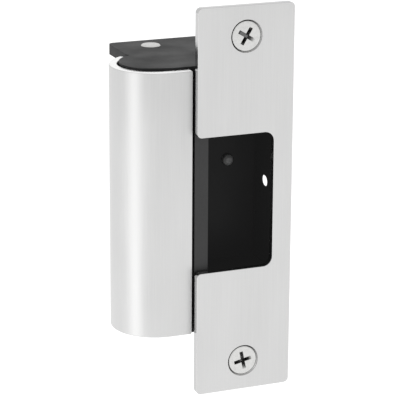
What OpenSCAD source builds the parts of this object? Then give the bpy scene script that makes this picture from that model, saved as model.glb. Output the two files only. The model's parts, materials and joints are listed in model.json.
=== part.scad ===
// Electric door strike.
// A half-round keeper swings on a pin at the back of a black case. A solenoid in the case
// works a lever that blocks the keeper, and a stainless faceplate carries the whole unit.
//
// Frame: X to the right, Y back into the door frame, Z up, in millimetres. The origin is the
// centre of the faceplate's back face, midway between its two screws.
// The keeper is drawn home and the solenoid without power, so the keeper is free to swing.

/* [Faceplate] */
// Width of the faceplate, a standard 1 1/4 inch
plate_w = 31.75; // [31:0.25:34]
// Height of the faceplate, a standard 4 7/8 inch
plate_h = 123.825; // [122:0.5:128]
// Thickness of the faceplate
plate_t = 2.4; // [2.2:0.1:3]
// Distance between the two faceplate screws, a standard 4 1/8 inch
screw_spacing = 104.775; // [103:0.5:106]
// Height of the notch for the door's latch
notch_h = 43.5; // [40:0.5:44]
// Reach of the notch from the plate's left edge
notch_w = 25.4; // [24:0.2:26]

/* [Keeper] */
// Outer radius of the half-round shell
shell_r = 14.2; // [14:0.1:14.4]
// Thickness of the shell
shell_t = 2.6; // [2.4:0.1:2.7]
// Height of the shell
shell_h = 84.8; // [84:0.1:85.2]
// Distance of the shell's round centre to the left of the faceplate's centre
shell_x = 23.2; // [23:0.1:23.4]
// Thickness of the keeper's walls
keeper_wall = 3.5; // [3:0.1:4]
// Radius of the keeper's pivot pin
pivot_r = 3.15; // [3:0.05:3.2]
// Distance of the pivot pin to the left of the faceplate's centre
pivot_x = 16.6; // [16.4:0.1:16.8]
// Distance of the pivot pin behind the faceplate
pivot_y = 35.9; // [35.7:0.1:36.1]

/* [Case] */
// Height over the case's two end plates
case_h = 86; // [85.8:0.1:86.4]
// Thickness of the end plates
end_t = 3.3; // [3.1:0.1:3.5]
// Depth of the case behind the faceplate
case_d = 43.6; // [43:0.1:44.4]
// Inner face of the side wall, to the right of the faceplate's centre
side_x = 10.9; // [10.8:0.1:11]
// Thickness of the side wall
side_t = 1.8; // [1.5:0.1:2]
// Depth of the latch pocket behind the faceplate
pocket_d = 15.6; // [15.4:0.1:15.8]
// Thickness of the pocket's sheet walls
sheet_t = 1.6; // [1.4:0.1:1.6]

/* [Lock] */
// Stroke of the solenoid's plunger
stroke = 3; // [2.6:0.1:3]
// Radius of the plunger
plunger_r = 4; // [3.8:0.1:4]
// Distance from the lever's pivot to the plunger's link pin
lever_arm = 7.4; // [7.2:0.1:7.4]
// Thickness of the locking lever
lever_t = 3.2; // [3:0.1:3.3]
// Radial clearance of a pin that turns or slides
running = 0.05; // [0.03:0.01:0.08]

/* [Hidden] */
$fn = 64;

// Extra depth of a cut that runs past a face
past = 1;

// Half heights of the case, and of the space between its end plates
case_z = case_h / 2;
inner_z = case_z - end_t;
// Side gap that keeps the keeper clear of the case
gap = 0.3;

// Front face of the shell, the centre of its round, and the pivot pin's axis, in plan
shell_front = 0.6;
round_c = [-shell_x, shell_front + shell_r];
pivot = [-pivot_x, pivot_y];
// Edge of the shell beside the faceplate
shell_edge_x = -plate_w / 2 - 0.5;
// Where the shell ends at the back, as an angle about its round's centre
shell_end = 118;
// Keeper's lip, just behind the faceplate's notch
lip_front = 0.8;
lip_left = shell_edge_x + 0.9;
lip_right = -11;
// Latch pocket: left edge of its walls, and half heights inside it and over its back
pocket_left = lip_right + 0.6;
pocket_z = 24;
pocket_back_z = 27;
// The keeper's arms, and the barrels that turn on the pivot pin
arm_t = 6.4;
barrel_r = 5.6;
barrel_h = 12.4;
bush_r = 4.2;
keeper_z = inner_z - gap;
// Heel on the middle barrel, which the locking lever blocks
heel_reach = 11.5;
heel_w = 4;
heel_z = 6;
heel_h = 8.2;
// Rib across the inside of the keeper
rib_z = -15;
rib_t = 3;
// Rivets of the shell: heights, and the angle round the shell
shell_rivet_z = [-28, 0, 28];
shell_rivet_turn = 138;

// Nose of the end plates: a disc inside the shell, kept inside the shell's sweep
nose_r = shell_r - shell_t - 0.5;
nose_sweep = pivot_y - shell_front - shell_t - gap;
// Left edge of the end plates where the faceplate hides them
hidden_x = -14;
// Ear at the back left of the end plates
ear_x = -28.4;
ear_y = 26.2;
ear_r = 2;

// Countersunk faceplate screws, number 12
screw_r = 2.745;
screw_head_r = 5;
screw_neck_r = 3.1;
screw_sunk = 0.15;
screw_len = 14;
screw_z = screw_spacing / 2;
sink_slope = tan(41);
sink_ring_r = 5.25;
// Cross recesses: length, width and depth
screw_cross = [5.8, 1.2, 1.4];
cover_cross = [2.6, 0.5, 0.8];

// Corner radii of the faceplate and of its notch
plate_corner = 1.6;
notch_mouth = 1.5;
notch_corner = 3;

// Flanges that hold the case to the faceplate, with a welded stud on each side
flange_w = 20;
flange_t = 2.2;
flange_top = 48.4;
stud_r = 1.5;
stud_x = 6;
stud_z = 45.9;
nut_h = 2.4;
nut_r = 2.9;

// Lever pivot, plunger and solenoid
lever_x = 7.6;
lever_z = 9;
lever_half = atan(stroke / 2 / lever_arm);
plunger_x = lever_x - lever_arm;
plunger_y = 31.4;
link_z = lever_z + stroke / 2;
link_r = 1.2;
lever_pin_r = 1.5;
pin_lug_r = 3.2;
pin_lug_t = 1.8;
pin_lug_gap = 0.4;
pin_end = pin_lug_t + pin_lug_gap;
hub_r = 3.1;
clevis_gap = lever_t + 0.4;
yoke_t = 2;
yoke_w = 18.6;
yoke_d = 18;
yoke_top = -1;
yoke_bottom = -33;
yoke_right = side_x - 0.4;
yoke_screw_z = [yoke_bottom + 7, yoke_top - 7];
coil_r = 8.1;
bobbin_t = 1;
core_h = 5.5;
plunger_bore = plunger_r + 0.1;
plunger_foot = -22;
collar_z = 4.4;
collar_t = 0.8;
spring_wire = 0.6;

// Latch monitor: a sprung button in the pocket's back, and the switch that it works
button_x = 1.4;
button_z = 9;
button_r = 1.7;
button_out = 2;
button_tail = 18.9;
strip_y = 20.3;
strip_z = 15.4;
strip_t = 0.4;
strip_tilt = 9.32;
switch_y = 21.2;
switch_d = 5.6;
switch_w = 6.4;
switch_z = 5.6;
switch_h = 13;
terminal_pitch = 1.9;
terminal_t = 0.5;
terminal_w = 2.8;
terminal_h = 3.5;

// Board with a terminal block and a rectifier, each from its low corner to its high one
board = [[-4.5, 19.2, 20], [10.3, 20.8, 36.5]];
lead_block = [[-3, board[1].y, 27], [9, 27.8, 35]];
lead_holes = 4;
lead_pitch = 2.73;
lead_hole_r = 0.95;
lead_hole_h = 2;
bridge = [[0, board[1].y, 22.8], [6, 23.4, 26.4]];

// Rivets, posts and lugs of the case
rivet_r = 1.5;
rivet_head_r = 2.3;
rivet_head_t = 0.8;
rivet_y = [10, 31];
rivet_x = 6;
flange_in = 8;
// Slot in the side wall, and the thin web that it goes through
port = [7.65, 3.12];
port_r = 1.75;
port_shift = 0.5;
port_web = 0.5;
port_patch = [[4.4, -0.8], [14, 6.4]];
post = [-7.5, 19.6];
post_r = 2;
lug_w = 5.6;
lug_d = 5;
lug_h = 6.2;
cover_screw_r = 1.25;
cover_head_r = 2.3;
cover_head_t = 1.2;
cover_screw_len = 6.4;
cover_screw_x = [-6.2, 8];
cover_left = -10.6;
cover_screw_z = 36.6;
grommet = [4, 27];
grommet_r = 4.5;
grommet_lip = 1.3;
grommet_wall = 1.4;

black = [0.09, 0.09, 0.1];
steel = [0.78, 0.78, 0.77];

// ---- helpers -------------------------------------------------------------------------

// Turns a shape drawn along +Z to point along +Y
module along_y() {
    rotate([-90, 0, 0]) children();
}

// Turns a shape drawn along +Z to point along +X
module along_x() {
    rotate([0, 90, 0]) children();
}

// Draws an outline in the X-Z plane and gives it a thickness from y back to y + depth
module upright(y, depth) {
    translate([0, y + depth, 0]) rotate([90, 0, 0]) linear_extrude(depth) children();
}

// Two crossed slots that start at the origin and go in along +Z
module cross_recess(size) {
    for (a = [0, 90]) {
        rotate(a) translate([-size.x / 2, -size.y / 2, -past]) cube([size.x, size.y, past + size.z]);
    }
}

// What a corner of radius r loses, with the corner at the origin
module corner_cut(r) {
    difference() {
        translate([-past, -past]) square(r + past);
        translate([r, r]) circle(r);
    }
}

// Block between two corners
module block(low, high) {
    translate(low) cube(high - low);
}

// Places children on the top half and, mirrored, on the bottom half
module top_and_bottom() {
    for (m = [0, 1]) mirror([0, 0, m]) children();
}

// ---- faceplate -----------------------------------------------------------------------

module notch_outline() {
    x0 = -plate_w / 2 - past;
    x1 = -plate_w / 2 + notch_w;
    difference() {
        translate([x0, -notch_h / 2]) square([x1 - x0, notch_h]);
        for (m = [0, 1]) mirror([0, m]) translate([x1, notch_h / 2]) rotate(180)
            corner_cut(notch_corner);
    }
}

module faceplate_outline() {
    difference() {
        square([plate_w, plate_h], center = true);
        notch_outline();
        for (mx = [0, 1], mz = [0, 1]) {
            mirror([mx, 0]) mirror([0, mz]) translate([plate_w / 2, plate_h / 2])
                rotate(180) corner_cut(plate_corner);
        }
        for (m = [0, 1]) {
            mirror([0, m]) translate([-plate_w / 2, notch_h / 2]) corner_cut(notch_mouth);
        }
    }
}

// Tapered hole of one faceplate screw, with a shallow ring round the head
module countersink() {
    head_y = -plate_t + screw_sunk;
    taper = (screw_head_r - screw_neck_r) / sink_slope;
    translate([0, -plate_t - past, 0]) along_y() cylinder(r = sink_ring_r, h = past + screw_sunk);
    translate([0, head_y, 0]) along_y() cylinder(r1 = screw_head_r, r2 = screw_neck_r, h = taper);
    translate([0, head_y, 0]) along_y() cylinder(r = screw_neck_r, h = plate_t + past);
}

module faceplate() {
    color(steel) difference() {
        upright(-plate_t, plate_t) faceplate_outline();
        top_and_bottom() translate([0, 0, screw_z]) countersink();
    }
}

// One flat head screw with a cross recess, its head's top at the origin, pointing along +Z
module flat_head_screw(turn) {
    taper = (screw_head_r - screw_neck_r) / sink_slope;
    difference() {
        union() {
            cylinder(r1 = screw_head_r, r2 = screw_neck_r, h = taper);
            cylinder(r = screw_r, h = screw_len);
        }
        rotate(turn) cross_recess(screw_cross);
    }
}

module faceplate_screws() {
    color(steel) {
        translate([0, -plate_t + screw_sunk, screw_z]) along_y() flat_head_screw(31);
        translate([0, -plate_t + screw_sunk, -screw_z]) along_y() flat_head_screw(-12);
    }
}

// Studs welded to the faceplate's back, two above and two below
module faceplate_studs() {
    color(steel) top_and_bottom() for (x = [-stud_x, stud_x]) {
        translate([x, 0, stud_z]) along_y() cylinder(r = stud_r, h = flange_t + nut_h + 1);
    }
}

module stud_nuts() {
    color(steel) top_and_bottom() for (x = [-stud_x, stud_x]) {
        translate([x, flange_t, stud_z]) along_y() difference() {
            cylinder(r = nut_r, h = nut_h, $fn = 6);
            translate([0, 0, -past]) cylinder(r = stud_r, h = nut_h + 2 * past);
        }
    }
}

// ---- case ----------------------------------------------------------------------------

// Body of an end plate's plan, behind and to the right of its nose
module end_plate_back() {
    right = side_x + side_t;
    neck_x = round_c.x - 1;
    cheek = round_c + (nose_r - 1) * [cos(shell_end - 3), sin(shell_end - 3)];
    difference() {
        union() {
            translate([neck_x, round_c.y]) square([right - neck_x, case_d - round_c.y]);
            translate([hidden_x, 0]) square([right - hidden_x, case_d]);
            polygon([cheek, [neck_x, round_c.y], [neck_x, case_d], [ear_x, case_d], [ear_x, ear_y]]);
        }
        translate([ear_x, case_d]) rotate(-90) corner_cut(ear_r);
    }
}

// Plan of an end plate: nose inside the shell, ear at the back left, case to the right
module end_plate_plan() {
    intersection() {
        union() {
            translate(round_c) circle(nose_r);
            translate([round_c.x, round_c.y - nose_r]) square([hidden_x - round_c.x, 2 * nose_r]);
        }
        translate(pivot) circle(nose_sweep);
    }
    end_plate_back();
}

// Upper end plate, with its flange behind the faceplate and two lugs for the cover screws
module end_plate() {
    difference() {
        union() {
            translate([0, 0, inner_z]) linear_extrude(end_t) end_plate_plan();
            block([-flange_w / 2, 0, inner_z], [flange_w / 2, flange_t, flange_top]);
            for (x = cover_screw_x) {
                block([x - lug_w / 2, case_d - sheet_t - lug_d, inner_z - lug_h],
                      [x + lug_w / 2, case_d - sheet_t, inner_z]);
            }
        }
        translate([pivot.x, pivot.y, inner_z - past]) cylinder(r = pivot_r, h = end_t + 2 * past);
        for (y = rivet_y) {
            translate([rivet_x, y, inner_z - past]) cylinder(r = rivet_r, h = end_t + 2 * past);
        }
        translate([post.x, post.y, inner_z - past]) cylinder(r = rivet_r, h = end_t + 2 * past);
        for (x = [-stud_x, stud_x]) {
            translate([x, -past, stud_z]) along_y() cylinder(r = stud_r, h = flange_t + 2 * past);
        }
        for (x = cover_screw_x) {
            translate([x, case_d - sheet_t - lug_d - past, cover_screw_z]) along_y()
                cylinder(r = cover_screw_r, h = lug_d + 2 * past);
        }
    }
}

module top_plate() {
    color(black) end_plate();
}

module bottom_plate() {
    color(black) mirror([0, 0, 1]) end_plate();
}

// Side wall, with a flange under each end plate and two lugs that carry the lever's pin
module side_wall() {
    back = case_d - sheet_t;
    color(black) difference() {
        union() {
            block([side_x, 0, -inner_z], [side_x + side_t, back, inner_z]);
            top_and_bottom() block([side_x - flange_in, 4, inner_z - sheet_t],
                                   [side_x, back - lug_d - 0.4, inner_z]);
            for (y = [plunger_y - lever_t / 2 - pin_end, plunger_y + lever_t / 2 + pin_lug_gap]) {
                block([lever_x - pin_lug_r, y, lever_z - pin_lug_r],
                      [side_x, y + pin_lug_t, lever_z + pin_lug_r]);
            }
        }
        translate([side_x - past, port.x, port.y]) along_x() hull()
            for (shift = [-port_shift, port_shift]) {
                translate([0, shift, 0]) cylinder(r = port_r, h = side_t + 2 * past);
            }
        block([side_x + port_web, port_patch[0].x, port_patch[0].y],
              [side_x + side_t + past, port_patch[1].x, port_patch[1].y]);
        translate([lever_x, plunger_y - lever_t / 2 - pin_end - past, lever_z]) along_y()
            cylinder(r = lever_pin_r, h = lever_t + 2 * (pin_end + past));
        top_and_bottom() for (y = rivet_y) {
            translate([rivet_x, y, inner_z - sheet_t - past])
                cylinder(r = rivet_r, h = sheet_t + 2 * past);
        }
        for (z = yoke_screw_z) {
            translate([side_x - past, plunger_y, z]) along_x()
                cylinder(r = rivet_r, h = side_t + 2 * past);
        }
    }
}

// Sheet cover at the back, with the hole for the leads
module back_cover() {
    color(black) difference() {
        block([cover_left, case_d - sheet_t, -inner_z], [side_x + side_t, case_d, inner_z]);
        top_and_bottom() for (x = cover_screw_x) {
            translate([x, case_d - sheet_t - past, cover_screw_z]) along_y()
                cylinder(r = cover_screw_r, h = sheet_t + 2 * past);
        }
        translate([grommet.x, case_d - sheet_t - past, grommet.y]) along_y()
            cylinder(r = grommet_r, h = sheet_t + 2 * past);
    }
}

// Pan head screws, their heads outside the cover
module cover_screws() {
    color(steel) top_and_bottom() for (x = cover_screw_x) {
        translate([x, case_d + cover_head_t, cover_screw_z]) rotate([90, 0, 0]) difference() {
            union() {
                cylinder(r = cover_head_r, h = cover_head_t);
                cylinder(r = cover_screw_r, h = cover_screw_len);
            }
            cross_recess(cover_cross);
        }
    }
}

// Rubber ring in the cover's lead hole
module cable_grommet() {
    lip_t = 1;
    long = sheet_t + 2 * lip_t;
    color([0.12, 0.12, 0.12]) translate([grommet.x, case_d - sheet_t - lip_t, grommet.y]) along_y()
        difference() {
            union() {
                cylinder(r = grommet_r, h = long);
                cylinder(r = grommet_r + grommet_lip, h = lip_t);
                translate([0, 0, long - lip_t]) cylinder(r = grommet_r + grommet_lip, h = lip_t);
            }
            translate([0, 0, -past]) cylinder(r = grommet_r - grommet_wall, h = long + 2 * past);
        }
}

// Spacer post between the end plates, with its ends riveted over
module case_post() {
    color(steel) translate([post.x, post.y, 0]) {
        cylinder(r = post_r, h = 2 * inner_z, center = true);
        cylinder(r = rivet_r, h = case_h, center = true);
    }
}

// Rivets through the end plates and the side wall's flanges
module case_rivets() {
    color(steel) top_and_bottom() for (y = rivet_y) {
        translate([rivet_x, y, inner_z - sheet_t - rivet_head_t]) {
            cylinder(r = rivet_head_r, h = rivet_head_t);
            cylinder(r = rivet_r, h = sheet_t + end_t + rivet_head_t);
        }
    }
}

// Back wall of the latch pocket, with the monitor button's bore
module pocket_back() {
    color(black) difference() {
        block([pocket_left, pocket_d, -pocket_back_z],
              [side_x, pocket_d + sheet_t, pocket_back_z]);
        translate([button_x, pocket_d - past, button_z]) along_y()
            cylinder(r = button_r + running, h = sheet_t + 2 * past);
    }
}

module pocket_roof() {
    color(black) block([pocket_left, 0, pocket_z], [side_x, pocket_d, pocket_z + sheet_t]);
}

module pocket_floor() {
    color(black) block([pocket_left, 0, -pocket_z - sheet_t], [side_x, pocket_d, -pocket_z]);
}

// ---- keeper --------------------------------------------------------------------------

// Everything outside the shell's sweep, from its front edge round the right to its end
module shell_cut() {
    reach = 2 * shell_r;
    translate(round_c)
        polygon([[0, 0], [0, -reach], [reach, -reach], [reach, reach], [reach / tan(shell_end), reach]]);
}

// Flat front strip, then a round of shell_end degrees past the left
module shell_plan() {
    difference() {
        translate(round_c) circle(shell_r);
        translate(round_c) circle(shell_r - shell_t);
        shell_cut();
    }
    translate([round_c.x, shell_front]) square([shell_edge_x - round_c.x, shell_t]);
}

module keeper_shell() {
    color(steel) difference() {
        translate([0, 0, -shell_h / 2]) linear_extrude(shell_h) shell_plan();
        shell_rivet_holes();
    }
}

// Solid plan of the keeper inside its shell
module keeper_round_plan() {
    translate(round_c) circle(shell_r - shell_t);
    translate([round_c.x, shell_front + shell_t])
        square([lip_right - round_c.x, pocket_d - gap - shell_front - shell_t]);
}

// Walls of the keeper: front, left round and the face toward the pocket
module keeper_wall_plan() {
    inner_r = shell_r - shell_t - keeper_wall;
    front = shell_front + shell_t;
    right = lip_right - keeper_wall;
    difference() {
        keeper_round_plan();
        translate(round_c) circle(inner_r);
        translate([round_c.x, front + keeper_wall]) square([right - round_c.x, 2 * shell_r]);
        shell_open_back();
    }
}

// The keeper's back is open right of the shell's end
module shell_open_back() {
    reach = 2 * shell_r;
    right = lip_right - keeper_wall - round_c.x;
    translate(round_c) polygon([[0, 0], [right, 0], [right, reach], [reach / tan(shell_end), reach]]);
}

// Arm from the round back to the pivot
module keeper_arm_plan() {
    back = round_c + (shell_r - shell_t) * [cos(shell_end - 3), sin(shell_end - 3)];
    keeper_round_plan();
    polygon([
        [lip_right, pocket_d - 2 * past], [pivot.x + barrel_r, pivot.y],
        [pivot.x - barrel_r, pivot.y], back, [round_c.x, round_c.y]
    ]);
}

// Rivet axes of the shell, at its back left where they stay out of sight
module at_shell_rivets() {
    for (z = shell_rivet_z) {
        translate([round_c.x, round_c.y, z]) rotate([0, 0, shell_rivet_turn]) along_x() children();
    }
}

module shell_rivet_holes() {
    at_shell_rivets() cylinder(r = rivet_r, h = shell_r + past);
}

module keeper_body() {
    color([0.2, 0.2, 0.21]) difference() {
        union() {
            translate([0, 0, -keeper_z]) linear_extrude(2 * keeper_z) keeper_wall_plan();
            block([lip_left, lip_front, -keeper_z],
                  [lip_right, lip_front + keeper_wall, keeper_z]);
            top_and_bottom() translate([0, 0, keeper_z - arm_t]) linear_extrude(arm_t)
                keeper_arm_plan();
            translate([0, 0, heel_z]) linear_extrude(heel_h) keeper_arm_plan();
            translate([0, 0, rib_z]) linear_extrude(rib_t) keeper_round_plan();
            top_and_bottom() translate([pivot.x, pivot.y, keeper_z - barrel_h])
                cylinder(r = barrel_r, h = barrel_h);
            translate([pivot.x, pivot.y, heel_z]) cylinder(r = barrel_r, h = heel_h);
            block([pivot.x, pivot.y - heel_w / 2, heel_z],
                  [pivot.x + heel_reach, pivot.y + heel_w / 2, heel_z + heel_h]);
        }
        top_and_bottom() translate([pivot.x, pivot.y, keeper_z - barrel_h - past])
            cylinder(r = bush_r, h = barrel_h + 2 * past);
        translate([pivot.x, pivot.y, heel_z - past])
            cylinder(r = pivot_r + 0.2, h = heel_h + 2 * past);
        shell_rivet_holes();
    }
}

module shell_rivets() {
    length = keeper_wall + shell_t;
    seat = 0.4;
    color(steel) at_shell_rivets() translate([0, 0, shell_r - length - seat]) {
        cylinder(r = rivet_r, h = length + seat - 0.15);
        translate([0, 0, -rivet_head_t]) cylinder(r = rivet_head_r, h = rivet_head_t);
    }
}

module keeper_bushes() {
    color([0.7, 0.52, 0.28]) top_and_bottom()
        translate([pivot.x, pivot.y, keeper_z - barrel_h]) difference() {
            cylinder(r = bush_r, h = barrel_h);
            translate([0, 0, -past]) cylinder(r = pivot_r + running, h = barrel_h + 2 * past);
        }
}

module keeper_pivot_pin() {
    color(steel) translate([pivot.x, pivot.y, 0])
        cylinder(r = pivot_r, h = case_h + 0.6, center = true);
}

// Torsion spring round the pin, drawn as one closed ring for each turn
module keeper_spring() {
    wire = 1.3;
    turns = 12;
    pitch = 1.6;
    low = -18;
    color([0.5, 0.5, 0.5]) translate([pivot.x, pivot.y, low]) for (i = [0 : turns - 1]) {
        translate([0, 0, i * pitch]) rotate_extrude() translate([pivot_r + wire, 0])
            circle(d = wire, $fn = 24);
    }
}

// ---- solenoid ------------------------------------------------------------------------

// Bent steel strip round the coil: a leg above, a leg below and a back on the side wall
module solenoid_yoke() {
    front = plunger_y - yoke_d / 2;
    left = yoke_right - yoke_w;
    color([0.62, 0.62, 0.6]) difference() {
        block([left, front, yoke_bottom], [yoke_right, front + yoke_d, yoke_top]);
        block([left - past, front - past, yoke_bottom + yoke_t],
              [yoke_right - yoke_t, front + yoke_d + past, yoke_top - yoke_t]);
        translate([plunger_x, plunger_y, yoke_top - yoke_t - past])
            cylinder(r = plunger_bore, h = yoke_t + 2 * past);
        translate([plunger_x, plunger_y, yoke_bottom - past])
            cylinder(r = screw_r, h = yoke_t + 2 * past);
        for (z = yoke_screw_z) {
            translate([yoke_right - yoke_t - past, plunger_y, z]) along_x()
                cylinder(r = rivet_r, h = yoke_t + 2 * past);
        }
    }
}

module solenoid_bobbin() {
    low = yoke_bottom + yoke_t;
    high = yoke_top - yoke_t;
    color([0.85, 0.85, 0.8]) translate([plunger_x, plunger_y, low]) difference() {
        union() {
            cylinder(r = coil_r, h = bobbin_t);
            cylinder(r = plunger_r + bobbin_t, h = high - low);
            translate([0, 0, high - low - bobbin_t]) cylinder(r = coil_r, h = bobbin_t);
        }
        translate([0, 0, -past]) cylinder(r = plunger_bore, h = high - low + 2 * past);
    }
}

module solenoid_coil() {
    low = yoke_bottom + yoke_t + bobbin_t;
    high = yoke_top - yoke_t - bobbin_t;
    color([0.6, 0.28, 0.12]) translate([plunger_x, plunger_y, low]) difference() {
        cylinder(r = coil_r - 0.3, h = high - low);
        translate([0, 0, -past]) cylinder(r = plunger_r + bobbin_t, h = high - low + 2 * past);
    }
}

// Fixed iron core at the bottom of the bobbin, riveted through the yoke's lower leg
module solenoid_core() {
    color([0.6, 0.6, 0.6]) translate([plunger_x, plunger_y, yoke_bottom]) {
        cylinder(r = screw_r, h = yoke_t);
        translate([0, 0, yoke_t]) cylinder(r = plunger_r, h = core_h);
    }
}

// Screws through the side wall into the yoke's back
module solenoid_screws() {
    length = side_t + side_x - yoke_right + yoke_t;
    color(steel) for (z = yoke_screw_z) {
        translate([yoke_right - yoke_t, plunger_y, z]) along_x() {
            cylinder(r = rivet_r, h = length);
            translate([0, 0, yoke_t]) cylinder(r = rivet_head_r, h = side_x - yoke_right);
        }
    }
}

// ---- plunger and lever ---------------------------------------------------------------

// Plunger with a slot across its head for the lever
module plunger() {
    root = link_z - 4.4;
    top = link_z + 3.2;
    color([0.66, 0.66, 0.66]) difference() {
        translate([plunger_x, plunger_y, plunger_foot]) cylinder(r = plunger_r, h = top - plunger_foot);
        block([plunger_x - plunger_r - past, plunger_y - clevis_gap / 2, root],
              [plunger_x + plunger_r + past, plunger_y + clevis_gap / 2, top + past]);
        translate([plunger_x, plunger_y - plunger_r - past, link_z]) along_y()
            cylinder(r = link_r, h = 2 * plunger_r + 2 * past);
    }
}

module plunger_link_pin() {
    color(steel) translate([plunger_x, plunger_y - plunger_r + 0.2, link_z]) along_y()
        cylinder(r = link_r, h = 2 * plunger_r - 0.4);
}

// Clip on the plunger that its spring pushes against
module spring_collar() {
    color([0.3, 0.3, 0.3]) translate([plunger_x, plunger_y, collar_z]) difference() {
        cylinder(r = plunger_r + 1.6, h = collar_t);
        translate([0, 0, -past]) cylinder(r = plunger_r, h = collar_t + 2 * past);
    }
}

// Return spring between the yoke and the collar, drawn as one closed ring for each turn
module plunger_spring() {
    turns = 4;
    room = collar_z - yoke_top - spring_wire;
    color([0.7, 0.7, 0.7]) translate([plunger_x, plunger_y, yoke_top + spring_wire / 2])
        for (i = [0 : turns - 1]) {
            translate([0, 0, i * room / (turns - 1)]) rotate_extrude()
                translate([plunger_r + 0.9, 0]) circle(d = spring_wire, $fn = 24);
        }
}

// Outline of the lever halfway through its travel, about its pivot
module lever_outline() {
    arm_end_r = 2.6;
    difference() {
        union() {
            circle(hub_r);
            translate([-lever_arm, 0]) circle(arm_end_r);
            translate([-lever_arm, -2.2]) square([lever_arm, 4.4]);
            polygon([[0.9, 2.9], [-10.9, 10.2], [-13, 4.9], [-2.4, -1.5]]);
            rotate(-lever_half) translate([-17.4, 1]) square([6, 6]);
        }
        circle(lever_pin_r + running);
        for (x = [-0.35, 0.35]) translate([x - lever_arm, 0]) circle(link_r + 0.15);
        translate([-lever_arm - 0.35, -link_r - 0.15]) square([0.7, 2 * link_r + 0.3]);
    }
}

// Lever in its unpowered place, with its nose raised clear of the keeper's heel
module lock_lever() {
    color([0.72, 0.7, 0.62]) translate([lever_x, 0, lever_z])
        upright(plunger_y - lever_t / 2, lever_t) rotate(-lever_half) lever_outline();
}

module lever_pin() {
    color(steel) translate([lever_x, plunger_y - lever_t / 2 - pin_end, lever_z]) along_y()
        cylinder(r = lever_pin_r, h = lever_t + 2 * pin_end);
}

// ---- latch monitor -------------------------------------------------------------------

// Round-nosed button, with a flange behind the pocket's wall and a tail for the switch
module monitor_button() {
    wall_back = pocket_d + sheet_t;
    color([0.25, 0.25, 0.26]) translate([button_x, 0, button_z]) along_y() rotate_extrude() {
        difference() {
            union() {
                translate([0, pocket_d - button_out]) square([button_r, wall_back - pocket_d + button_out]);
                translate([0, wall_back]) square([2.6, 0.8]);
                translate([0, wall_back]) square([1.2, button_tail - wall_back]);
            }
            translate([button_r, pocket_d - button_out]) rotate(90) corner_cut(0.8);
        }
    }
}

module switch_body() {
    color([0.15, 0.15, 0.16]) {
        block([button_x - switch_w / 2, switch_y, switch_z],
              [button_x + switch_w / 2, switch_y + switch_d, switch_z + switch_h]);
    }
}

// Spring strip that the button pushes, hanging from its upper end
module switch_lever() {
    color(steel) translate([button_x, strip_y, strip_z]) rotate([-strip_tilt, 0, 0]) {
        block([-1.8, -strip_t / 2, -9.5], [1.8, strip_t / 2, 0]);
        along_x() cylinder(r = 0.45, h = 4.6, center = true);
    }
}

module switch_terminals() {
    top = switch_z + switch_h;
    color([0.75, 0.65, 0.4]) for (i = [-1 : 1]) {
        y = switch_y + switch_d / 2 + terminal_pitch * i;
        block([button_x - terminal_w / 2, y - terminal_t / 2, top],
              [button_x + terminal_w / 2, y + terminal_t / 2, top + terminal_h]);
    }
}

// Board behind the pocket that joins the leads to the solenoid and the switch
module circuit_board() {
    color([0.1, 0.35, 0.2]) block(board[0], board[1]);
}

module terminal_block() {
    middle = (lead_block[0] + lead_block[1]) / 2;
    color([0.15, 0.4, 0.25]) difference() {
        block(lead_block[0], lead_block[1]);
        for (i = [0 : lead_holes - 1]) {
            x = middle.x + lead_pitch * (i - (lead_holes - 1) / 2);
            translate([x, middle.y, lead_block[1].z - lead_hole_h])
                cylinder(r = lead_hole_r, h = lead_hole_h + past);
        }
    }
}

module rectifier() {
    color([0.1, 0.1, 0.1]) block(bridge[0], bridge[1]);
}

// ---- assembly ------------------------------------------------------------------------

faceplate();
faceplate_screws();
faceplate_studs();
stud_nuts();
top_plate();
bottom_plate();
side_wall();
back_cover();
cover_screws();
cable_grommet();
case_post();
case_rivets();
pocket_back();
pocket_roof();
pocket_floor();
keeper_body();
keeper_shell();
shell_rivets();
keeper_bushes();
keeper_pivot_pin();
keeper_spring();
solenoid_yoke();
solenoid_bobbin();
solenoid_coil();
solenoid_core();
solenoid_screws();
plunger();
plunger_link_pin();
spring_collar();
plunger_spring();
lock_lever();
lever_pin();
monitor_button();
switch_body();
switch_lever();
switch_terminals();
circuit_board();
terminal_block();
rectifier();
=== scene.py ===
# %% [markdown]
# # An electric door strike, dressed
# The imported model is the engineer's version of the strike: every piece in its place, at its real
# size. This script gives those pieces their looks. It loads the model as a fixed frame, replaces
# the plain solids that need finer shapes, paints every finish with nodes, and sets up a small
# studio. All lengths here are in metres; `mm` turns a length in millimetres into metres.

# %% load the frame
import json
from math import ceil, cos, pi, radians, sin

import bmesh
import bpy
from mathutils import Matrix, Vector


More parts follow.
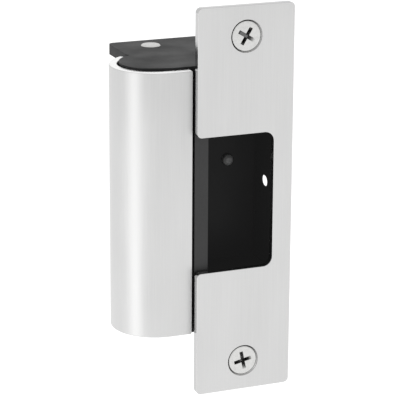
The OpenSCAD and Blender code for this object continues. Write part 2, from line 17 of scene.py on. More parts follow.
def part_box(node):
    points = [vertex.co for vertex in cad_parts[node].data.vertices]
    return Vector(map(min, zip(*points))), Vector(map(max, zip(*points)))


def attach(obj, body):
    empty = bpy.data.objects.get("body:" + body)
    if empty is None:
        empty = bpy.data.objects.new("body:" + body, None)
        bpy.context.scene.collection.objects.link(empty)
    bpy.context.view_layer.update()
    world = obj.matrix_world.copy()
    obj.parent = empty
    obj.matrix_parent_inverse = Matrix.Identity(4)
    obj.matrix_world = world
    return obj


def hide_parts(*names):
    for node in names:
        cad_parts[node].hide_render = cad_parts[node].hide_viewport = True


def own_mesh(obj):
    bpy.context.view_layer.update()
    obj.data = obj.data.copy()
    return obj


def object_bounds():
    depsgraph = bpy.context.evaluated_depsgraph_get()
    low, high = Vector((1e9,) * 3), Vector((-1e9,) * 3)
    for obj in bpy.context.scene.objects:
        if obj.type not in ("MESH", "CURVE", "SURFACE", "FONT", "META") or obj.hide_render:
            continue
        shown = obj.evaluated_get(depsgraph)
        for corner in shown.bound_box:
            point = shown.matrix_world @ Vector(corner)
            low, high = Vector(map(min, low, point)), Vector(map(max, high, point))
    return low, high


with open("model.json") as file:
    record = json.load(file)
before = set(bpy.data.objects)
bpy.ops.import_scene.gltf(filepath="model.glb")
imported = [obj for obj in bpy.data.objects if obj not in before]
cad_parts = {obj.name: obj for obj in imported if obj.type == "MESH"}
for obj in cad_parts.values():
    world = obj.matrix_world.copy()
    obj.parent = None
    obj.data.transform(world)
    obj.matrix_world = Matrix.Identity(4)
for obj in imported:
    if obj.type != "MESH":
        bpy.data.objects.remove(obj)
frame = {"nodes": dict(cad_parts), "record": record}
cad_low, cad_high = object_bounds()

mm = 0.001
nodes = frame["nodes"]
size = cad_high - cad_low
print("CAD box", [round(v / mm, 1) for v in size], "mm with", len(nodes), "nodes")

# %% [markdown]
# ## Helpers for making pieces
# Most parts of a strike are punched, bent, turned or cast, and a few helpers cover them all. One
# turns a profile on a lathe, one cuts a piece with another, one rounds the edges of a CAD node,
# and one gives a plate's outline a thickness with rounded rims. Rounded rims matter more than
# anything else here, because a bright line along each edge is what makes metal look real.

# %% helper: one object, one finish, one body
def make_piece(name, mesh, body, finish, replaced=()):
    piece = bpy.data.objects.new(name, mesh)
    bpy.context.scene.collection.objects.link(piece)
    mesh.materials.clear()
    mesh.materials.append(finish)
    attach(piece, body)
    for node in replaced:
        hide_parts(node)
    print(name, "has", len(mesh.polygons), "faces")
    return piece


def smooth_by_angle(mesh, limit=32):
    """Smooth shading that stays crisp across every edge sharper than the limit in degrees."""
    mesh.polygons.foreach_set("use_smooth", [True] * len(mesh.polygons))
    shape = bmesh.new()
    shape.from_mesh(mesh)
    for edge in shape.edges:
        edge.smooth = edge.is_manifold and edge.calc_face_angle(0) < radians(limit)
    shape.to_mesh(mesh)
    shape.free()
    return mesh


def mesh_from(shape, name):
    """A shaded mesh from a bmesh, with its faces turned outward."""
    mesh = bpy.data.meshes.new(name)
    bmesh.ops.recalc_face_normals(shape, faces=shape.faces)
    shape.to_mesh(mesh)
    shape.free()
    return smooth_by_angle(mesh)

# %% helper: apply modifiers and keep the plain mesh
def baked(mesh, *set_up):
    """The mesh after the modifiers that each (kind, settings) pair describes."""
    holder = bpy.data.objects.new("holder", mesh)
    bpy.context.scene.collection.objects.link(holder)
    for kind, settings in set_up:
        modifier = holder.modifiers.new(kind, kind)
        for key, value in settings.items():
            setattr(modifier, key, value)
    graph = bpy.context.evaluated_depsgraph_get()
    graph.update()
    result = bpy.data.meshes.new_from_object(holder.evaluated_get(graph))
    bpy.data.objects.remove(holder)
    return result


def cut_with(mesh, cutters):
    """The mesh less each cutter mesh."""
    for cutter in cutters:
        tool = bpy.data.objects.new("tool", cutter)
        bpy.context.scene.collection.objects.link(tool)
        settings = {"operation": "DIFFERENCE", "object": tool, "solver": "EXACT"}
        mesh = baked(mesh, ("BOOLEAN", settings))
        bpy.data.objects.remove(tool)
    return mesh

# %% helper: soften the edges of a CAD node
# Large faces win when normals are averaged, so that they stay flat next to their round edges
FLAT_FACES = ("WEIGHTED_NORMAL", {"mode": "FACE_AREA", "weight": 100, "keep_sharp": True})
body_of_node = {n: body for body, group in frame["record"]["behaviour"]["bodies"].items() for n in group}


def softened(node, width=0.25 * mm, segments=3):
    """A copy of a CAD node with every crisp edge rounded by a small bevel."""
    shape = bmesh.new()
    shape.from_mesh(nodes[node].data)
    shape.transform(nodes[node].matrix_world)
    bmesh.ops.remove_doubles(shape, verts=shape.verts, dist=1e-6)
    bmesh.ops.dissolve_limit(shape, angle_limit=radians(1), verts=shape.verts, edges=shape.edges)
    mesh = bpy.data.meshes.new(node + "_soft")
    shape.to_mesh(mesh)
    shape.free()
    bevel = {
        "width": width, "segments": segments, "limit_method": "ANGLE", "angle_limit": radians(40),
        "use_clamp_overlap": True,
    }
    return baked(smooth_by_angle(mesh, 40), ("BEVEL", bevel), FLAT_FACES)

# %% helper: turn a profile on a lathe
def lathe(profile, steps=72):
    """Spins (radius, height) points round +Z. Points on the axis close the shape."""
    shape = bmesh.new()
    rings = []
    for radius, height in profile:
        if radius < 1e-7:
            rings.append([shape.verts.new((0, 0, height))])
        else:
            turn = [2 * pi * i / steps for i in range(steps)]
            rings.append([shape.verts.new((radius * cos(a), radius * sin(a), height)) for a in turn])
    for low, high in zip(rings, rings[1:]):
        for i in range(steps):
            j = (i + 1) % steps
            if len(low) == 1:
                shape.faces.new((low[0], high[j], high[i]))
            elif len(high) == 1:
                shape.faces.new((low[i], low[j], high[0]))
            else:
                shape.faces.new((low[i], low[j], high[j], high[i]))
    return shape


def rounded(points, radius, steps=4):
    """An open profile with each inside corner turned into a short arc."""
    result = [points[0]]
    for before, corner, after in zip(points, points[1:], points[2:]):
        b, c, a = Vector(before), Vector(corner), Vector(after)
        back, ahead = (b - c), (a - c)
        reach = min(radius, back.length * 0.45, ahead.length * 0.45)
        start, end = c + back.normalized() * reach, c + ahead.normalized() * reach
        for i in range(steps + 1):
            t = i / steps
            result.append(tuple((1 - t) ** 2 * start + 2 * t * (1 - t) * c + t ** 2 * end))
    return result + [points[-1]]

# %% helper: give an outline a thickness with rounded rims
def slab(loops, low, high, rim, rim_steps=3):
    """Closed outlines in X-Y, the first outside and the rest holes, filled from low to high."""
    curve = bpy.data.curves.new("outline", "CURVE")
    curve.dimensions = "2D"
    curve.fill_mode = "BOTH"
    curve.resolution_u = 1
    for loop in loops:
        spline = curve.splines.new("POLY")
        spline.points.add(len(loop) - 1)
        for point, (x, y) in zip(spline.points, loop):
            point.co = (x, y, 0, 1)
        spline.use_cyclic_u = True
    curve.extrude = (high - low) / 2 - rim
    curve.bevel_depth = rim
    curve.bevel_resolution = rim_steps
    curve.offset = -rim
    holder = bpy.data.objects.new("outline", curve)
    bpy.context.scene.collection.objects.link(holder)
    graph = bpy.context.evaluated_depsgraph_get()
    mesh = bpy.data.meshes.new_from_object(holder.evaluated_get(graph))
    bpy.data.objects.remove(holder)
    mesh.transform(Matrix.Translation((0, 0, (low + high) / 2)))
    shape = bmesh.new()
    shape.from_mesh(mesh)
    bmesh.ops.remove_doubles(shape, verts=shape.verts, dist=1e-7)
    return mesh_from(shape, "slab")


def arc(centre, radius, start, end, steps=16):
    """Points on an arc, with its angles in degrees."""
    turn = [radians(start + (end - start) * i / steps) for i in range(steps + 1)]
    return [(centre[0] + radius * cos(a), centre[1] + radius * sin(a)) for a in turn]


def circle(centre, radius, steps=64):
    """A full circle as a closed outline."""
    return arc(centre, radius, 0, 360, steps)[:-1]


# Turns that lay a shape drawn along +Z so that it points to the back or to the front
FACE_BACK = Matrix.Rotation(radians(-90), 4, "X")
FACE_FRONT = Matrix.Rotation(radians(90), 4, "X")


def placed(mesh, where, facing=Matrix.Identity(4), turn=0):
    """Moves a mesh so that its origin is at where and its +Z points along facing."""
    mesh.transform(Matrix.Translation(where) @ facing @ Matrix.Rotation(radians(turn), 4, "Z"))
    return mesh


def joined(meshes, name):
    """One mesh from several."""
    shape = bmesh.new()
    for mesh in meshes:
        shape.from_mesh(mesh)
    mesh = bpy.data.meshes.new(name)
    shape.to_mesh(mesh)
    shape.free()
    return smooth_by_angle(mesh)

# %% helper: threads and coiled wire
def thread(radius, length, pitch, depth, steps=48):
    """A threaded rod from the origin up +Z. Its crest follows one continuous helix."""
    shape = bmesh.new()
    rows = ceil(length / pitch * 8)
    rings = []
    for row in range(rows + 1):
        z = length * row / rows
        ring = []
        for i in range(steps):
            turn = i / steps
            wave = abs(2 * ((z / pitch - turn) % 1) - 1)
            fade = min(1, (length - z) / (1.5 * pitch))
            r = radius - depth * (1 - wave) - 0.4 * depth * (1 - fade)
            ring.append(shape.verts.new((r * cos(2 * pi * turn), r * sin(2 * pi * turn), z)))
        rings.append(ring)
    for low, high in zip(rings, rings[1:]):
        for i in range(steps):
            j = (i + 1) % steps
            shape.faces.new((low[i], low[j], high[j], high[i]))
    shape.faces.new(reversed(rings[0]))
    shape.faces.new(rings[-1])
    return mesh_from(shape, "thread")


def coil(radius, wire, low, high, turns, sides=12, per_turn=40):
    """Round wire wound round +Z, with its first and last turns lying flat."""
    shape = bmesh.new()
    count = round(turns * per_turn)
    rings = []
    for i in range(count + 1):
        t = i / per_turn
        ends = min(1.0, turns / 4)
        climb = min(max((t - ends / 2) / (turns - ends), 0), 1)
        z = low + wire / 2 + (high - low - wire) * climb
        a = 2 * pi * t
        out = Vector((cos(a), sin(a), 0))
        ring = []
        for k in range(sides):
            b = 2 * pi * k / sides
            where = out * (radius + wire / 2 * cos(b)) + Vector((0, 0, z + wire / 2 * sin(b)))
            ring.append(shape.verts.new(where))
        rings.append(ring)
    for low_ring, high_ring in zip(rings, rings[1:]):
        for k in range(sides):
            m = (k + 1) % sides
            shape.faces.new((low_ring[k], low_ring[m], high_ring[m], high_ring[k]))
    shape.faces.new(reversed(rings[0]))
    shape.faces.new(rings[-1])
    return mesh_from(shape, "coil")

# %% [markdown]
# ## Finishes
# The faceplate and the keeper's shell are stainless steel, rubbed along their length with a belt.
# The grain is many fine scratches, so it is noise stretched hard along Z: it changes the
# roughness and tips the surface a little, and the tint hardly at all. The case is die cast and
# sheet steel under a thin black coat, which is smooth with a faint orange peel.

# %% helper: start a node finish
def new_finish(name, metallic, roughness, colour):
    finish = bpy.data.materials.new(name)
    finish.use_nodes = True
    shader = finish.node_tree.nodes["Principled BSDF"]
    shader.inputs["Metallic"].default_value = metallic
    shader.inputs["Roughness"].default_value = roughness
    shader.inputs["Base Color"].default_value = (*colour, 1)
    return finish, shader


def noise(finish, scale, detail=2.0, stretch=(1, 1, 1)):
    """Noise in the piece's own space, so that it travels with the piece."""
    tree = finish.node_tree
    place = tree.nodes.new("ShaderNodeTexCoord")
    mapping = tree.nodes.new("ShaderNodeMapping")
    mapping.inputs["Scale"].default_value = stretch
    texture = tree.nodes.new("ShaderNodeTexNoise")
    texture.inputs["Scale"].default_value = scale
    texture.inputs["Detail"].default_value = detail
    tree.links.new(place.outputs["Object"], mapping.inputs["Vector"])
    tree.links.new(mapping.outputs["Vector"], texture.inputs["Vector"])
    return texture.outputs["Fac"]


def spread(finish, value, low, high, from_low=0.3, from_high=0.7):
    """Maps a noise value to a range."""
    tree = finish.node_tree
    ranger = tree.nodes.new("ShaderNodeMapRange")
    ranger.inputs["From Min"].default_value = from_low
    ranger.inputs["From Max"].default_value = from_high
    ranger.inputs["To Min"].default_value = low
    ranger.inputs["To Max"].default_value = high
    tree.links.new(value, ranger.inputs["Value"])
    return ranger.outputs["Result"]


def tint(finish, shader, value, dark, light):
    """Blends the colour between two tints by a value from 0 to 1."""
    tree = finish.node_tree
    mixer = tree.nodes.new("ShaderNodeMix")
    mixer.data_type = "RGBA"
    mixer.inputs[6].default_value = (*dark, 1)
    mixer.inputs[7].default_value = (*light, 1)
    tree.links.new(value, mixer.inputs[0])
    tree.links.new(mixer.outputs[2], shader.inputs["Base Color"])


def bump(finish, shader, value, depth):
    """Tips the surface by a value, as if it stood up by depth."""
    tree = finish.node_tree
    relief = tree.nodes.new("ShaderNodeBump")
    relief.inputs["Distance"].default_value = depth
    relief.inputs["Strength"].default_value = 1.0
    tree.links.new(value, relief.inputs["Height"])
    tree.links.new(relief.outputs["Normal"], shader.inputs["Normal"])

# %% brushed and plain metals
def brushed_metal(name, colour, roughness, grain=(1, 1, 0.012), depth=0.0008 * mm, anisotropy=0.4):
    """Metal rubbed along one direction, which is the small number in grain."""
    finish, shader = new_finish(name, 1.0, roughness, colour)
    scratches = noise(finish, 5200, 3, grain)
    clouds = noise(finish, 60, 2, (1, 1, 0.4))
    shader.inputs["Anisotropic"].default_value = anisotropy
    mixed = finish.node_tree.nodes.new("ShaderNodeMath")
    mixed.operation = "MULTIPLY_ADD"
    mixed.inputs[1].default_value = 0.5
    finish.node_tree.links.new(scratches, mixed.inputs[0])
    finish.node_tree.links.new(spread(finish, clouds, 0.1, 0.4), mixed.inputs[2])
    rough = spread(finish, mixed.outputs[0], roughness - 0.06, roughness + 0.08, 0.25, 0.75)
    finish.node_tree.links.new(rough, shader.inputs["Roughness"])
    dark = tuple(c * 0.93 for c in colour)
    light = tuple(min(c * 1.05, 1) for c in colour)
    tint(finish, shader, spread(finish, mixed.outputs[0], 0, 1, 0.25, 0.75), dark, light)
    bump(finish, shader, scratches, depth)
    return finish


def plated_metal(name, colour, roughness, depth=0.002 * mm):
    """Turned or stamped metal with a faint mottle."""
    finish, shader = new_finish(name, 1.0, roughness, colour)
    mottle = noise(finish, 900, 4)
    rough = spread(finish, mottle, roughness - 0.07, roughness + 0.1)
    finish.node_tree.links.new(rough, shader.inputs["Roughness"])
    tint(finish, shader, spread(finish, mottle, 0, 1), tuple(c * 0.85 for c in colour), colour)
    bump(finish, shader, mottle, depth)
    return finish

# %% coats, plastics and rubber
def coated(name, colour, roughness, peel=0.004 * mm, scale=1500, specular=0.5):
    """A coat or a moulding: flat colour, a fine surface texture and a little unevenness."""
    finish, shader = new_finish(name, 0.0, roughness, colour)
    grain = noise(finish, scale, 3)
    clouds = noise(finish, 90, 2)
    shader.inputs["Specular IOR Level"].default_value = specular
    rough = spread(finish, clouds, roughness - 0.06, roughness + 0.08)
    finish.node_tree.links.new(rough, shader.inputs["Roughness"])
    tint(finish, shader, spread(finish, grain, 0, 1), tuple(c * 0.75 for c in colour), colour)
    bump(finish, shader, grain, peel)
    return finish


def painted_recess_shade(finish, start, end, colour):
    """Darkens a screw below its top face: painted shade in its recess and round its head."""
    tree = finish.node_tree
    shader = tree.nodes["Principled BSDF"]
    place = tree.nodes.new("ShaderNodeTexCoord")
    parts = tree.nodes.new("ShaderNodeSeparateXYZ")
    tree.links.new(place.outputs["Object"], parts.inputs["Vector"])
    amount = spread(finish, parts.outputs["Y"], 0, 1, start, end)
    mixer = tree.nodes.new("ShaderNodeMix")
    mixer.data_type = "RGBA"
    mixer.inputs[7].default_value = (*colour, 1)
    tree.links.new(amount, mixer.inputs[0])
    tree.links.new(shader.inputs["Base Color"].links[0].from_socket, mixer.inputs[6])
    tree.links.new(mixer.outputs[2], shader.inputs["Base Color"])


def facing_tone_with_painted_light(finish, axis, away, toward, colour, roughness):
    """A second colour and roughness, by how far the surface faces along an axis. The roughness is that of
    cut edges, which are not rubbed; the colour is painted light, lighter or darker for faces that turn one
    way.
    """
    tree = finish.node_tree
    shader = tree.nodes["Principled BSDF"]
    place = tree.nodes.new("ShaderNodeTexCoord")
    parts = tree.nodes.new("ShaderNodeSeparateXYZ")
    tree.links.new(place.outputs["Normal"], parts.inputs["Vector"])
    facing = tree.nodes.new("ShaderNodeMath")
    facing.operation = "ABSOLUTE"
    tree.links.new(parts.outputs[axis], facing.inputs[0])
    amount = spread(finish, facing.outputs[0], away, toward, 0.55, 0.85)
    for data_type, socket, first, value in (
        ("RGBA", "Base Color", 6, (*colour, 1)), ("FLOAT", "Roughness", 2, roughness),
    ):
        mixer = tree.nodes.new("ShaderNodeMix")
        mixer.data_type = data_type
        mixer.inputs[first + 1].default_value = value
        tree.links.new(amount, mixer.inputs[0])
        tree.links.new(shader.inputs[socket].links[0].from_socket, mixer.inputs[first])
        tree.links.new(mixer.outputs[2 if data_type == "RGBA" else 0], shader.inputs[socket])
    return finish


plate_steel = brushed_metal("plate_stainless", (0.6, 0.6, 0.598), 0.34)
# Painted shade: the plate's cut side faces get a darker colour (0.5), and they are also smoother, as
# unrubbed cut edges are.
facing_tone_with_painted_light(plate_steel, "Y", 1, 0, (0.5, 0.5, 0.5), 0.14)
stainless = brushed_metal("stainless_brushed", (0.6, 0.6, 0.598), 0.34)
# Painted highlight: the shell's faces that turn up and down get a near-white colour (0.95).
facing_tone_with_painted_light(stainless, "Z", 0, 1, (0.95, 0.95, 0.95), 0.3)
screw_steel = plated_metal("screw_steel", (0.62, 0.62, 0.61), 0.3)
head_steel = plated_metal("screw_head_steel", (0.66, 0.66, 0.65), 0.3)
zinc = plated_metal("zinc_plate", (0.55, 0.56, 0.57), 0.34)
drawn_wire = plated_metal("drawn_wire", (0.4, 0.4, 0.41), 0.3)
hard_steel = plated_metal("hardened_steel", (0.34, 0.33, 0.32), 0.38)
bronze = plated_metal("sintered_bronze", (0.55, 0.38, 0.18), 0.45, 0.006 * mm)
contact = plated_metal("tinned_brass", (0.7, 0.62, 0.42), 0.3)
cast_black = coated("cast_black_coat", (0.026, 0.026, 0.0265), 0.45, specular=0.08)
sheet_black = coated("sheet_black_coat", (0.004, 0.004, 0.0042), 0.5, specular=0.1)
# A faint glow stands in for the light that a large room would throw deep into the pocket
coat_shader = sheet_black.node_tree.nodes["Principled BSDF"]
coat_shader.inputs["Emission Color"].default_value = (1, 1, 1, 1)
coat_shader.inputs["Emission Strength"].default_value = 0.0078
keeper_black = coated("keeper_black_coat", (0.016, 0.016, 0.0165), 0.42)
winding = coated("enamelled_copper", (0.4, 0.12, 0.04), 0.28, 0.001 * mm)
nylon = coated("natural_nylon", (0.68, 0.65, 0.56), 0.5)
button_black = coated("button_black", (0.12, 0.12, 0.12), 0.45)
switch_black = coated("moulded_black", (0.022, 0.022, 0.023), 0.48)
board_green = coated("board_lacquer", (0.02, 0.13, 0.05), 0.25, 0.001 * mm)
terminal_green = coated("terminal_green", (0.04, 0.24, 0.09), 0.45)
rubber = coated("soft_rubber", (0.022, 0.022, 0.022), 0.75, 0.01 * mm)
print(len(bpy.data.materials), "finishes")

# %% [markdown]
# ## Finish every CAD node first
# Each node gets the finish of its slot, so nothing is left plain while the finer pieces are made.
# `dressed` then swaps one node for a finer mesh, in the same body and with the same finish.

# %% a finish for every slot
slot_finish = {
    "stainless": stainless, "screw_steel": screw_steel, "zinc_steel": zinc, "black_cast": cast_black,
    "black_sheet": sheet_black, "keeper_black": keeper_black, "bronze": bronze,
    "spring_steel": drawn_wire, "hard_steel": hard_steel, "coil_wire": winding,
    "bobbin_plastic": nylon, "black_plastic": switch_black, "contact_metal": contact,
    "board": board_green, "terminal_plastic": terminal_green, "rubber": rubber,
}
node_slot = {s["node"]: s["material_slot"] for s in frame["record"]["subparts"]}
for node, slot in node_slot.items():
    nodes[node].data.materials.clear()
    nodes[node].data.materials.append(slot_finish[slot])
print(len(node_slot), "nodes finished")


def dressed(node, mesh, finish=None):
    """Shows mesh in place of a CAD node."""
    slot = node_slot[node]
    return make_piece(node + "_shown", mesh, body_of_node[node], finish or slot_finish[slot], [node])

# %% [markdown]
# ## The faceplate
# A faceplate is punched from strip: the outline, the notch for the latch and two screw holes are
# cut in one blow, and its corners are left with a small radius. Here the outline is drawn once and
# given its thickness. The screw holes are then cut with a turned cone, as a countersink would.

# %% faceplate outline
plate_low, plate_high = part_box("faceplate")
screw_z = 104.775 / 2 * mm
notch_half = 21.75 * mm
notch_x = plate_low.x + 25.4 * mm
plate_rim = 0.2 * mm


def faceplate_outline():
    corner, inner, lip = 1.6 * mm, 3 * mm, 1.5 * mm
    w, h = plate_high.x, plate_high.z
    upper = arc((w - corner, h - corner), corner, 0, 90, 8)
    upper += arc((-w + corner, h - corner), corner, 90, 180, 8)
    upper += arc((-w + lip, notch_half + lip), lip, 180, 270, 8)
    upper += arc((notch_x - inner, notch_half - inner), inner, 90, 0, 12)
    return upper + [(x, -z) for x, z in reversed(upper)]

# %% faceplate with its countersinks
plate_mesh = slab([faceplate_outline()], plate_low.y, plate_high.y, plate_rim)
placed(plate_mesh, (0, 0, 0), FACE_BACK)
thick = plate_high.y - plate_low.y
sink_neck_r = 3.1 * mm
sink_profile = [
    (0, -mm), (5.18 * mm, -mm), (5.12 * mm, 0.07 * mm), (4.8 * mm, 0.4 * mm),
    (sink_neck_r, thick - 0.1 * mm), (sink_neck_r, thick + mm), (0, thick + mm),
]
sinks = [placed(mesh_from(lathe(sink_profile), "sink"), (0, plate_low.y, z), FACE_BACK)
         for z in (-screw_z, screw_z)]
plate_mesh = smooth_by_angle(cut_with(plate_mesh, sinks), 50)
dressed("faceplate", baked(plate_mesh, FLAT_FACES), plate_steel)

# %% [markdown]
# ## The faceplate's screws
# They are number 12 machine screws with a flat head. The cross recess is pressed, so its four
# arms taper both in width and in depth. A screw stops wherever it is tight, which leaves the two
# crosses at different angles. The thin dark ring round each head is the gap to its countersink,
# made darker by painted shade on the head below its top.

# %% one flat head screw
def cross_cutter(reach, width, depth, foot=0.42):
    """Two crossed wedges that narrow toward the bottom of the recess."""
    wedges = []
    for angle in (0, 90):
        shape = bmesh.new()
        top = [(-reach, -width), (reach, -width), (reach, width), (-reach, width)]
        upper = [shape.verts.new((x, y, -0.5 * mm)) for x, y in top]
        lower = [shape.verts.new((x * foot, y * 0.7, depth)) for x, y in top]
        shape.faces.new(upper)
        shape.faces.new(reversed(lower))
        for i in range(4):
            j = (i + 1) % 4
            shape.faces.new((upper[i], lower[i], lower[j], upper[j]))
        wedge = mesh_from(shape, "wedge")
        wedge.transform(Matrix.Rotation(radians(angle), 4, "Z"))
        wedges.append(wedge)
    return wedges


def flat_head(turn):
    """A head with its recess, its top at the origin and its taper going up +Z."""
    foot = 2.5 * mm
    head = rounded([
        (0, 0), (4.45 * mm, 0), (4.72 * mm, 0.2 * mm), (3.05 * mm, 2.3 * mm), (2.7 * mm, foot), (0, foot),
    ], 0.15 * mm)
    cut = cut_with(mesh_from(lathe(head, 96), "head"), cross_cutter(3.3 * mm, 0.62 * mm, 2.2 * mm))
    cut.transform(Matrix.Rotation(radians(turn), 4, "Z"))
    return smooth_by_angle(cut)

# %% both screws in place
head_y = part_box("faceplate_screws")[0].y
# Painted shade: each head turns dark grey (0.16) from 0.1 mm below its top, in the recess and round the
# head.
painted_recess_shade(head_steel, head_y + 0.1 * mm, head_y + 1.3 * mm, (0.16, 0.16, 0.16))
turns = {screw_z: 31, -screw_z: -12}
heads = [placed(flat_head(turn), (0, head_y + 0.02 * mm, z), FACE_BACK) for z, turn in turns.items()]
dressed("faceplate_screws", joined(heads, "faceplate_screws"), head_steel)
shank = thread(2.72 * mm, 11.4 * mm, 1.06 * mm, 0.5 * mm)
shanks = [placed(shank.copy(), (0, head_y + 2.4 * mm, z), FACE_BACK) for z in turns]
make_piece("faceplate_screw_threads", joined(shanks, "screw_threads"), "case", screw_steel)

# %% [markdown]
# ## Studs and nuts behind the faceplate
# Four small studs are welded to the plate's back, and the case hangs on them by its two flanges.

# %% studs and nuts
stud_low, stud_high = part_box("faceplate_studs")
stud_r = 1.5 * mm
stud_places = [(x, z) for x in (stud_low.x + stud_r, stud_high.x - stud_r)
               for z in (stud_low.z + stud_r, stud_high.z - stud_r)]
stud = thread(stud_r, stud_high.y - stud_low.y, 0.5 * mm, 0.25 * mm)
studs = [placed(stud.copy(), (x, stud_low.y, z), FACE_BACK) for x, z in stud_places]
dressed("faceplate_studs", joined(studs, "faceplate_studs"))
nut_low, nut_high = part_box("stud_nuts")
nut_reach = nut_high.x - stud_places[-1][0]
hexagon = circle((0, 0), nut_reach, 6)
nut = slab([hexagon, circle((0, 0), stud_r - 0.1 * mm, 32)], nut_low.y, nut_high.y, 0.3 * mm)
nuts = [placed(nut.copy(), (x, 0, z), FACE_BACK) for x, z in stud_places]
dressed("stud_nuts", joined(nuts, "stud_nuts"))

# %% [markdown]
# ## The keeper
# The keeper is the part that moves. Its front is a stainless shell, bent from strip into a
# half round with a flat front, and riveted to a black casting. A rounded rim on the shell
# catches the light along its top, so the bent sheet reads as a sheet with a thickness.

# %% shell
shell_low, shell_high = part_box("keeper_shell")
shell_r, shell_t, shell_end = 14.2 * mm, 2.6 * mm, 118
round_c = (shell_low.x + shell_r, shell_low.y + shell_r)
shell_outline = arc(round_c, shell_r, shell_end, 270, 56)
shell_outline += [(shell_high.x, shell_low.y), (shell_high.x, shell_low.y + shell_t)]
shell_outline += arc(round_c, shell_r - shell_t, 270, shell_end, 56)
# Besides its rounded rim, the shell's top and bottom faces carry a painted highlight from its finish.
dressed("keeper_shell", slab([shell_outline], shell_low.z, shell_high.z, 0.45 * mm, 4))

# %% casting, rivets and bushes
dressed("keeper_body", softened("keeper_body", 0.3 * mm))
dressed("shell_rivets", softened("shell_rivets", 0.2 * mm))
dressed("keeper_bushes", softened("keeper_bushes", 0.25 * mm))

# %% pivot pin and its spring
pin_low, pin_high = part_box("keeper_pivot_pin")
pin_r = (pin_high.x - pin_low.x) / 2
pivot = ((pin_low.x + pin_high.x) / 2, (pin_low.y + pin_high.y) / 2, 0)
pin_profile = rounded([
    (0, pin_low.z), (pin_r - 0.35 * mm, pin_low.z), (pin_r, pin_low.z + 0.35 * mm),
    (pin_r, pin_high.z - 0.35 * mm), (pin_r - 0.35 * mm, pin_high.z), (0, pin_high.z),
], 0.1 * mm)
dressed("keeper_pivot_pin", placed(mesh_from(lathe(pin_profile, 96), "pin"), pivot))
spring_low, spring_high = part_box("keeper_spring")
spring_wire = 1.3 * mm
spring_r = (spring_high.x - spring_low.x - spring_wire) / 2
dressed("keeper_spring", placed(coil(spring_r, spring_wire, spring_low.z, spring_high.z, 12.4), pivot))

# %% [markdown]
# ## The case
# Two thick cast end plates, a side wall and a sheet cover make the case. Black coat is a little
# thinner and softer on every edge, and each edge here is rounded to suit. The back cover is held by
# four small pan head screws, and its lead hole has a soft rubber grommet.

# %% castings and sheets
for plate in ("top_plate", "bottom_plate"):
    dressed(plate, softened(plate, 0.35 * mm))
for sheet in ("side_wall", "back_cover", "pocket_back", "pocket_roof", "pocket_floor"):
    dressed(sheet, softened(sheet, 0.2 * mm))
for small in ("case_post", "case_rivets", "lever_pin", "plunger_link_pin", "spring_collar"):
    dressed(small, softened(small, 0.12 * mm))

# %% cover screws
cover_low, cover_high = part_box("cover_screws")
cover_head_r, cover_head_t = 2.3 * mm, 1.2 * mm
cover_neck_r, cover_neck_end = 1.2 * mm, 1.6 * mm
pan = rounded([
    (0, 0), (1.5 * mm, 0), (cover_head_r, 0.55 * mm), (cover_head_r, cover_head_t),
    (cover_neck_r, cover_head_t), (cover_neck_r, cover_neck_end), (0, cover_neck_end),
], 0.25 * mm)
pan_head = cut_with(mesh_from(lathe(pan, 64), "pan"), cross_cutter(1.35 * mm, 0.3 * mm, 0.9 * mm))
cover_shank = placed(thread(1.22 * mm, 5 * mm, 0.45 * mm, 0.2 * mm), (0, 0, 1.4 * mm))
cover_screw = joined([pan_head, cover_shank], "cover_screw")
places = [(x, z) for x in (cover_low.x + cover_head_r, cover_high.x - cover_head_r)
          for z in (cover_low.z + cover_head_r, cover_high.z - cover_head_r)]
cover_screws = [placed(cover_screw.copy(), (x, cover_high.y, z), FACE_FRONT, 23 * i)
                for i, (x, z) in enumerate(places)]
dressed("cover_screws", joined(cover_screws, "cover_screws"))

# %% grommet
ring_low, ring_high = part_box("cable_grommet")
ring_c = (ring_low + ring_high) / 2
ring_r = (ring_high.x - ring_low.x) / 2
depth = ring_high.y - ring_low.y
bore_r, waist_r, lip_t = 3.1 * mm, 4.5 * mm, 1 * mm
back_lip = depth - lip_t
ring_profile = rounded([
    (bore_r, depth / 2), (bore_r, 0), (ring_r, 0), (ring_r, lip_t), (waist_r, lip_t), (waist_r, back_lip),
    (ring_r, back_lip), (ring_r, depth), (bore_r, depth), (bore_r, depth / 2),
], 0.4 * mm, 5)
ring = mesh_from(lathe(ring_profile, 80), "grommet")
dressed("cable_grommet", placed(ring, (ring_c.x, ring_low.y, ring_c.z), FACE_BACK))

# %% [markdown]
# ## The solenoid
# The winding is thousands of turns of fine enamelled wire. Its outer layer shows as ridges, so a
# lathe profile with one small bump a turn is enough. The return spring is a true helix round the
# plunger, with a mesh of its own. On the real strike it squashes as the plunger is pulled down.

# %% winding, yoke and core
wind_low, wind_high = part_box("solenoid_coil")
wind_c = (wind_low + wind_high) / 2
wind_r = (wind_high.x - wind_low.x) / 2
core_r, strand = 5.05 * mm, 0.42 * mm
strands = int((wind_high.z - wind_low.z) / strand)
valley = 0.09 * mm
wind_profile = [(core_r, wind_low.z)]
for i in range(strands * 4 + 1):
    z = wind_low.z + (wind_high.z - wind_low.z) * i / (strands * 4)
    wind_profile.append((wind_r - valley * (1 - abs(sin(pi * i / 4))), z))
wind_profile += [(core_r, wind_high.z), (core_r, wind_low.z)]
dressed("solenoid_coil", placed(mesh_from(lathe(wind_profile, 80), "winding"), (wind_c.x, wind_c.y, 0)))
for piece in ("solenoid_yoke", "solenoid_bobbin", "solenoid_core", "solenoid_screws", "plunger"):
    dressed(piece, softened(piece, 0.2 * mm))

# %% return spring
return_low, return_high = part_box("plunger_spring")
return_wire = 0.6 * mm
return_r = (return_high.x - return_low.x - return_wire) / 2
return_c = (return_low + return_high) / 2
return_mesh = coil(return_r, return_wire, return_low.z, return_high.z, 4.3, 10, 36)
return_spring = dressed("plunger_spring", placed(return_mesh, (return_c.x, return_c.y, 0)))
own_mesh(return_spring)

# %% [markdown]
# ## Lever, button and switch
# The hardened lever blocks the keeper. The button is pushed in by the door's latch, and it bends
# the strip of the small switch behind it. All are small parts with fine edges.

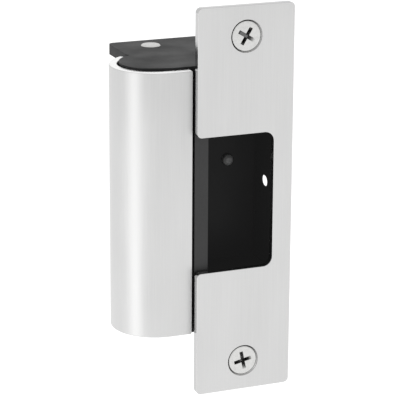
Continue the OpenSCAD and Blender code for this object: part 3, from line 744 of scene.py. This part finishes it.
# %% lever, button and switch
for piece in ("lock_lever", "switch_body", "switch_terminals"):
    dressed(piece, softened(piece, 0.15 * mm))
dressed("switch_lever", softened("switch_lever", 0.08 * mm))
button_low, button_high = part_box("monitor_button")
button_c = (button_low + button_high) / 2
button_r, flange_r, tail_r = 1.7 * mm, (button_high.x - button_low.x) / 2, 1.2 * mm
flange_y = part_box("pocket_back")[1].y - button_low.y
flange_end = flange_y + 0.8 * mm
tail_y = button_high.y - button_low.y
button_profile = rounded([
    (0, 0), (0.9 * mm, 0.05 * mm), (button_r, 0.8 * mm), (button_r, flange_y), (flange_r, flange_y),
    (flange_r, flange_end), (tail_r, flange_end), (tail_r, tail_y), (0, tail_y),
], 0.2 * mm)
button_mesh = mesh_from(lathe(button_profile), "button")
placed(button_mesh, (button_c.x, button_low.y, button_c.z), FACE_BACK)
dressed("monitor_button", button_mesh, button_black)

# %% [markdown]
# ## Board and terminals
# The board joins the leads to the coil and the switch. A few soldered joints and the screws of
# its terminal block are the details that make it read as a board.

# %% board, terminal block and rectifier
for piece in ("circuit_board", "terminal_block", "rectifier"):
    dressed(piece, softened(piece, 0.15 * mm))
board_low, board_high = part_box("circuit_board")
joint_profile = rounded([(0, 0.45 * mm), (0.3 * mm, 0.35 * mm), (0.75 * mm, 0), (0, 0)], 0.1 * mm)
joints = []
for column in range(4):
    for row in range(2):
        x = board_low.x + (1.6 + 3.2 * column) * mm
        z = board_low.z + (2.5 + 3 * row) * mm
        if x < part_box("rectifier")[0].x - mm:
            joint = mesh_from(lathe(joint_profile, 20), "joint")
            joints.append(placed(joint, (x, board_high.y - 0.02 * mm, z), FACE_BACK))
joint_mesh = joined(joints, "solder_joints")
make_piece("solder_joints", joint_mesh, "case", contact)

# %% [markdown]
# ## The studio
# The strike is shown the way a catalogue shows it: on white, with white all round it. A brushed
# metal has no look of its own and only shows what is round it, so the white surroundings give
# the plate its even pale grey. One tall light on the left draws the bright band down the round
# shell. The floor glows a little, so that it stays white under the strike.

# %% floor, surroundings and lights
def soft_light(name, where, aim, width, height, watts):
    lamp = bpy.data.lights.new(name, "AREA")
    lamp.shape = "RECTANGLE"
    lamp.size = width
    lamp.size_y = height
    lamp.energy = watts
    holder = bpy.data.objects.new(name, lamp)
    holder.location = where
    holder.rotation_mode = "QUATERNION"
    holder.rotation_quaternion = (Vector(aim) - Vector(where)).to_track_quat("-Z", "Y")
    bpy.context.scene.collection.objects.link(holder)
    return holder


floor_mesh = bpy.data.meshes.new("floor")
floor_half, floor_z = 6.0, cad_low.z - 0.8
corners = [(-1, -1), (1, -1), (1, 1), (-1, 1)]
floor_mesh.from_pydata([(x * floor_half, y * floor_half, floor_z) for x, y in corners], [], [(0, 1, 2, 3)])
floor = bpy.data.objects.new("floor", floor_mesh)
bpy.context.scene.collection.objects.link(floor)
floor_paint, floor_shader = new_finish("studio_white", 0.0, 0.9, (0.93, 0.93, 0.93))
floor_shader.inputs["Emission Color"].default_value = (1, 1, 1, 1)
floor_shader.inputs["Emission Strength"].default_value = 0.25
floor_mesh.materials.append(floor_paint)

world = bpy.data.worlds.new("studio")
bpy.context.scene.world = world
world.use_nodes = True
world.node_tree.nodes["Background"].inputs["Color"].default_value = (1, 1, 1, 1)
world.node_tree.nodes["Background"].inputs["Strength"].default_value = 1.0

middle = (cad_low + cad_high) / 2
soft_light("left_light", (-0.9, -0.25, -0.15), middle, 0.45, 1.8, 1.7)
print("floor at", round(floor_z, 3))

# %% [markdown]
# ## The camera
# It stands at the left front, a little above, far enough away that the verticals barely close.
# A long lens keeps the plate's long edges nearly parallel, as in a product picture.

# %% camera
camera_turn, camera_rise, camera_roll = 0.386, 0.2949, 0.0056
camera_distance, focal_length = 0.62157, 180.8
face = Vector((0, plate_low.y, 0))
level = cos(camera_rise)
ahead = Vector((sin(camera_turn) * level, cos(camera_turn) * level, -sin(camera_rise)))
level_right = Vector((cos(camera_turn), -sin(camera_turn), 0))
level_up = level_right.cross(ahead)
right = level_right * cos(camera_roll) + level_up * sin(camera_roll)
up = level_up * cos(camera_roll) - level_right * sin(camera_roll)
aim = face - 13.88 * mm * right + 0.7 * mm * up
camera_data = bpy.data.cameras.new("camera")
camera_data.sensor_width = 36
camera_data.lens = focal_length
camera_data.clip_start = 0.01
camera = bpy.data.objects.new("camera", camera_data)
facing = Matrix((right, up, -ahead)).transposed().to_4x4()
camera.matrix_world = Matrix.Translation(aim - ahead * camera_distance) @ facing
bpy.context.scene.collection.objects.link(camera)
bpy.context.scene.camera = camera
bpy.context.scene.view_settings.view_transform = "Standard"
bpy.context.scene.view_settings.look = "None"
print("camera at", [round(v, 3) for v in camera.location])
